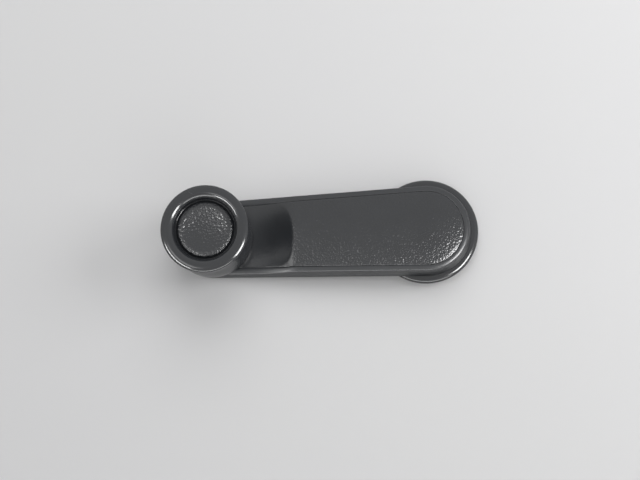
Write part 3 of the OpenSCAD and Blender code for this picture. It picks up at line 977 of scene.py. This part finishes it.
def knob_body():
    """The knob, hollow underneath, with the tube that turns on the pin and the well for the cap."""
    ledge = KNOB_HIGH.z - WELL_DEPTH
    floor = ledge - PLUG_LONG - PLUG_ROOM
    roof = floor - KNOB_FLOOR
    wall = KNOB_WAIST_R - KNOB_WALL
    plug_hole, bore = PLUG_R + PLUG_FIT, PIN_R + PIN_FIT
    seat = WASHER_TOP
    inside = softened([
        (CAP_R + CAP_ROOM, ledge, 0), (plug_hole, ledge, 0), (plug_hole, floor, 0), (bore, floor, 0.1),
        (bore, seat, 0.1), (TUBE_R, seat, 0.15), (TUBE_R, roof, 0.3), (wall - KNOB_HAUNCH, roof, 0),
        (wall, roof - KNOB_HAUNCH, 0.4), (wall + KNOB_DRAFT, KNOB_LOW.z, 0)])
    piece = turned([*knob_outline(), *inside], KNOB_X)
    rib = block((KNOB_X + TUBE_R - TUBE_RIB_SUNK, -RIB / 2, KNOB_LOW.z + KNOB_RIB_SHORT),
                (KNOB_X + wall + WALL_RIB_SUNK, RIB / 2, roof + ROOF_RIB_SUNK))
    cut(piece, spokes(rib, even_turns(KNOB_RIBS), KNOB_X), "UNION")
    return finished(piece, "knob_body", "smooth_plastic")


def knob_cap():
    """The dished, grained cap with its plug."""
    ledge = KNOB_HIGH.z - WELL_DEPTH
    face = CAP_HIGH.z
    flat = CAP_R - CAP_EDGE_ACROSS
    dish_r = (flat * flat + CAP_DISH * CAP_DISH) / (2 * CAP_DISH)
    rings = [flat * (1 - i / CAP_RINGS) for i in range(1, CAP_RINGS)]
    dished = [(r, face - CAP_DISH + dish_r - math.sqrt(dish_r * dish_r - r * r)) for r in rings]
    reach = CAP_EDGE_ACROSS / math.cos(math.radians(CAP_EDGE_STEEP))
    edge = arc((flat, face - CAP_EDGE), (reach, CAP_EDGE), 90, CAP_EDGE_STEEP, 12)
    plug_in = PLUG_R - PLUG_WALL
    plug = [(PLUG_R, ledge), (PLUG_R, CAP_LOW.z), (plug_in, CAP_LOW.z), (plug_in, ledge)]
    profile = [(0, face - CAP_DISH), *reversed(dished), *edge, (CAP_R, ledge), *plug, (0, ledge)]
    piece = turned(profile, KNOB_X, 288, closed=False)

    def grain(place):
        if place.z < ledge + SAME_LEVEL:
            return 0.0
        away = math.hypot(place.x - KNOB_X, place.y)
        return ramp(CAP_R + CAP_GRAIN_REACH - away, 0.0, CAP_GRAIN_FADE)

    raise_grain(piece, grain)
    return finished(piece, "knob_cap", "grained_plastic", 60)


def add_table():
    """The pale table under the handle, which isn't part of it."""
    bpy.ops.mesh.primitive_plane_add(size=TABLE_SIZE * MM)
    table = bpy.context.object
    table.name = "table_top"
    table.matrix_world = Matrix.Translation(on_table(0, 0, 0)) @ Matrix.Rotation(TILT, 4, "Y")
    finish = Finish("table_white")
    cloud = finish.noise(160.0, 2.0)
    base = finish.blend(cloud, rgb(1.0, TABLE_GREY), rgb(TABLE_GREY[0] * TABLE_CLOUD))
    finish.set(Base_Color=base, Roughness=0.9, Specular_IOR_Level=0.05)
    table.data.materials.append(finish.material)


def add_room():
    """A white room where the camera, glass or a reflection sees it, and weaker light on the handle."""
    world = bpy.data.worlds.new("room")
    world.use_nodes = True
    bpy.context.scene.world = world
    room = Nodes(world.node_tree)
    kinds = ("Is Camera Ray", "Is Transmission Ray", "Is Glossy Ray")
    camera, through, mirrored = [room.node("LightPath", {}, output=kind) for kind in kinds]
    seen = camera.larger(through).larger(mirrored)
    shade = room.tree.nodes["Background"]
    room.join(shade.inputs["Strength"], ROOM_LEVEL + (1 - ROOM_LEVEL) * seen)
    room.join(shade.inputs["Color"], rgb(1.0))


def add_lamp(name, azimuth, height, distance, width, depth, level, kind):
    """A soft lamp aimed at the handle's middle. A kind of "fill" gives only scattered light,
    and "glint" only highlights."""
    around, above = math.radians(azimuth), math.radians(height)
    flat = math.cos(above) * distance
    data = bpy.data.lights.new(name, "AREA")
    data.shape = "RECTANGLE"
    data.size, data.size_y = width * MM, depth * MM
    data.energy = level * math.pi * (width * MM) * (depth * MM)
    lamp = bpy.data.objects.new(name, data)
    lamp.visible_diffuse = kind == "fill"
    lamp.visible_glossy = kind == "glint"
    bpy.context.collection.objects.link(lamp)
    along, across, up = LAMP_AIM
    aim = on_table(along, across, up)
    rise = distance * math.sin(above)
    place = on_table(along + flat * math.cos(around), flat * math.sin(around), up + rise)
    facing = (place - aim).to_track_quat("Z", "Y").to_matrix().to_4x4()
    lamp.matrix_world = Matrix.Translation(place) @ facing


def add_camera():
    """The camera at the photograph's angle."""
    turn = math.radians(VIEW_TURN)
    rise = math.radians(VIEW_ELEVATION)
    side = ALONG * math.cos(turn) + ACROSS * math.sin(turn)
    away = ACROSS * math.cos(turn) - ALONG * math.sin(turn)
    back = UPWARD * math.sin(rise) - away * math.cos(rise)
    up = away * math.sin(rise) + UPWARD * math.cos(rise)
    eye = on_table(VIEW_ALONG, VIEW_ACROSS, 0) + back * VIEW_DISTANCE * MM
    data = bpy.data.cameras.new("camera")
    data.sensor_width = SENSOR
    data.lens = data.sensor_width * FOCAL_PX / FRAME_PX
    data.clip_start, data.clip_end = 0.01, 20.0
    camera = bpy.data.objects.new("camera", data)
    bpy.context.collection.objects.link(camera)
    axes = Matrix((side, up, back)).transposed().to_4x4()
    camera.matrix_world = Matrix.Translation(eye) @ axes
    bpy.context.scene.camera = camera


dress_frame()
arm_body()
arm_cover()
escutcheon()
knob_body()
knob_cap()
add_table()
add_room()
for lamp in LAMPS:
    add_lamp(*lamp)
add_camera()
bpy.context.scene.view_settings.view_transform = "Standard"
